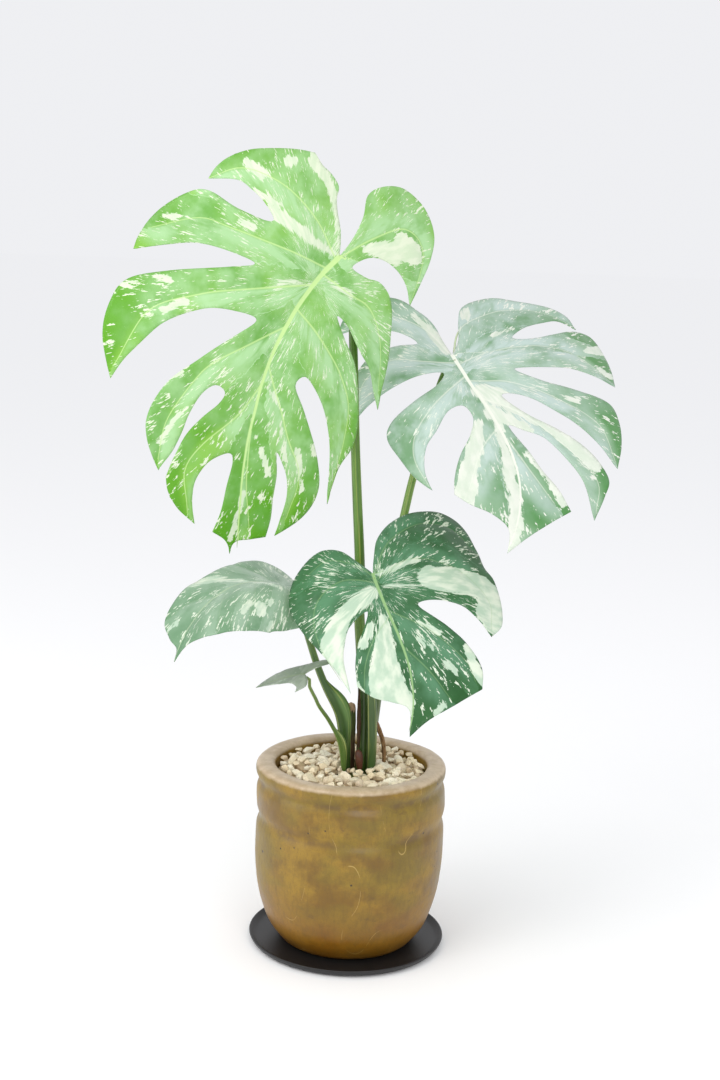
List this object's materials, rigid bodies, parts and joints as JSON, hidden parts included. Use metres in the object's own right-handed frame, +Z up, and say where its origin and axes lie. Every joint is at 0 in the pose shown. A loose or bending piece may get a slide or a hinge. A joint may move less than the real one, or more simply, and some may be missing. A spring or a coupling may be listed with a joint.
{
  "type": "potted plant",
  "caption": "Potted monstera: split, cream-speckled leaves on long stalks rise from a gravel-topped, full-bellied glazed pot standing on a flat black saucer.",
  "frame": {"origin": "centre of the saucer's underside, on the pot's axis", "axes": "+Z up along the pot's axis, -Y towards the plant's front, +X to the right seen from the front"},
  "size_m": [0.475, 0.3353, 0.7674],
  "materials": {
    "pot_glaze": "satin",
    "saucer_black": "satin",
    "drain_mesh": "matte",
    "potting_soil": "matte",
    "pumice_gravel": "matte",
    "crown_bark": "matte",
    "dry_tissue": "matte",
    "bud_scale": "satin",
    "stalk_green": "satin",
    "top_leaf_green": "satin",
    "right_leaf_green": "satin",
    "front_leaf_green": "satin",
    "left_leaf_green": "satin",
    "young_leaf_green": "satin"
  },
  "bodies": {
    "root": {"saucer": "saucer_black", "pot": "pot_glaze", "drain_mesh": "drain_mesh", "potting_soil": "potting_soil", "gravel_bed": "pumice_gravel", "main_stem": "crown_bark", "cut_stalk_stub": "dry_tissue", "dry_sheath": "dry_tissue", "root_bud": "bud_scale", "aerial_root": "dry_tissue", "top_leaf_stalk": "stalk_green", "top_leaf": "top_leaf_green", "right_leaf_stalk": "stalk_green", "right_leaf": "right_leaf_green", "front_leaf_stalk": "stalk_green", "front_leaf": "front_leaf_green", "left_leaf_stalk": "stalk_green", "left_leaf": "left_leaf_green", "young_leaf_stalk": "stalk_green", "young_leaf": "young_leaf_green"}
  },
  "joints": []
}
